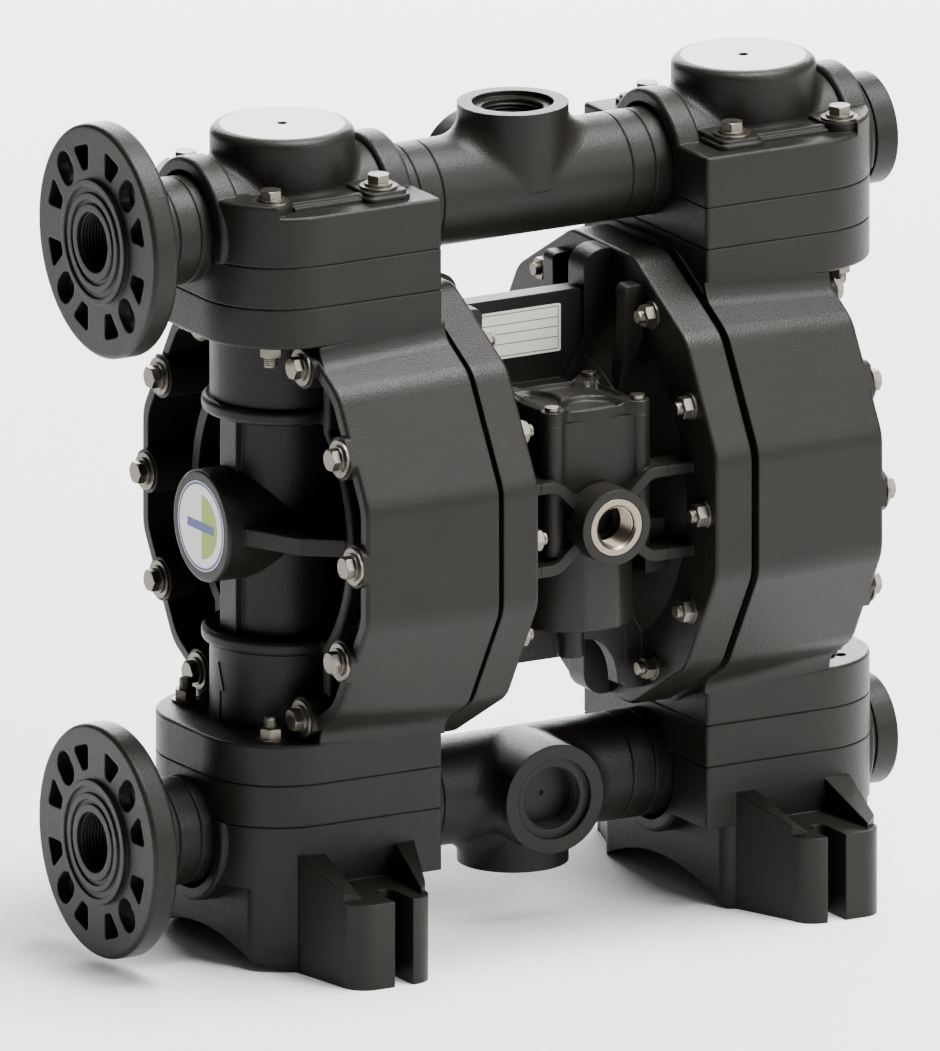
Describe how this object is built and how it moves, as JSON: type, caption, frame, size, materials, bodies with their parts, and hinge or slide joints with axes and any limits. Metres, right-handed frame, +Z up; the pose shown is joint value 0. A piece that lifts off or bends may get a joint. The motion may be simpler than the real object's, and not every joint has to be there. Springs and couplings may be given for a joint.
{
  "type": "air operated diaphragm pump",
  "caption": "Air operated diaphragm pump with moulded plastic casings, ball valve stacks on slotted feet, flanged suction and discharge manifolds and a steel air inlet.",
  "frame": {"origin": "on the ground, below the centre of the shaft", "axes": "+X along the shaft, away from the pipe flanges; -Y to the air inlet; +Z up"},
  "size_m": [0.5641, 0.296, 0.5473],
  "materials": {
    "body_plastic": "fine satin grain, carbon filled",
    "steel": "stainless, satin",
    "aluminium": "machined",
    "rubber": "matt",
    "ball_plastic": "smooth, white",
    "light_plastic": "machined, natural",
    "plate_label": "printed film, cream",
    "hub_label": "printed film, white and blue",
    "silencer_plastic": "moulded"
  },
  "bodies": {
    "pump": {"air_inlet_bush": "steel", "centre_housing": "body_plastic", "coupling_rings": "body_plastic", "discharge_end_plug": "body_plastic", "discharge_flange": "body_plastic", "discharge_tee": "body_plastic", "exhaust_silencer": "silencer_plastic", "left_air_cover": "body_plastic", "left_casing": "body_plastic", "left_casing_bolts": "steel", "left_casing_nuts": "steel", "left_casing_washers": "steel", "left_diaphragm": "rubber", "left_discharge_elbow": "body_plastic", "left_foot": "body_plastic", "left_hub_disc": "hub_label", "left_inlet_seat": "light_plastic", "left_outlet_seat": "light_plastic", "left_suction_elbow": "body_plastic", "left_top_clamp": "body_plastic", "lower_stack_bolts": "steel", "lower_stack_nuts": "steel", "lower_stack_washers": "steel", "rating_plate": "plate_label", "right_air_cover": "body_plastic", "right_casing": "body_plastic", "right_casing_bolts": "steel", "right_casing_nuts": "steel", "right_casing_washers": "steel", "right_diaphragm": "rubber", "right_discharge_elbow": "body_plastic", "right_foot": "body_plastic", "right_hub_disc": "hub_label", "right_inlet_seat": "light_plastic", "right_outlet_seat": "light_plastic", "right_suction_elbow": "body_plastic", "right_top_clamp": "body_plastic", "seat_seals": "rubber", "shaft_bushes": "light_plastic", "shaft_seals": "rubber", "suction_end_plug": "body_plastic", "suction_flange": "body_plastic", "suction_tee": "body_plastic", "upper_stack_bolts": "steel", "upper_stack_nuts": "steel", "upper_stack_washers": "steel", "valve_cover": "body_plastic", "valve_cover_screws": "steel", "valve_sleeve": "aluminium"},
    "shaft_assembly": {"shaft": "steel", "left_inner_plate": "aluminium", "left_outer_plate": "body_plastic", "right_inner_plate": "aluminium", "right_outer_plate": "body_plastic"},
    "left_inlet_ball": {"left_inlet_ball": "ball_plastic"},
    "left_outlet_ball": {"left_outlet_ball": "ball_plastic"},
    "right_inlet_ball": {"right_inlet_ball": "ball_plastic"},
    "right_outlet_ball": {"right_outlet_ball": "ball_plastic"},
    "spool": {"valve_spool": "aluminium"}
  },
  "joints": [
    {"name": "shaft_stroke", "type": "slide", "parent": "pump", "child": "shaft_assembly", "axis": [1, 0, 0], "range_m": [-0.012, 0.012], "deforming": ["left_diaphragm", "right_diaphragm"]},
    {"name": "left_inlet_ball_lift", "type": "slide", "parent": "pump", "child": "left_inlet_ball", "axis": [0, 0, 1], "range_m": [0, 0.014]},
    {"name": "left_outlet_ball_lift", "type": "slide", "parent": "pump", "child": "left_outlet_ball", "axis": [0, 0, 1], "range_m": [0, 0.014]},
    {"name": "right_inlet_ball_lift", "type": "slide", "parent": "pump", "child": "right_inlet_ball", "axis": [0, 0, 1], "range_m": [0, 0.014]},
    {"name": "right_outlet_ball_lift", "type": "slide", "parent": "pump", "child": "right_outlet_ball", "axis": [0, 0, 1], "range_m": [0, 0.014]},
    {"name": "spool_shift", "type": "slide", "parent": "pump", "child": "spool", "axis": [0, 0, 1], "range_m": [0, 0.012]}
  ]
}
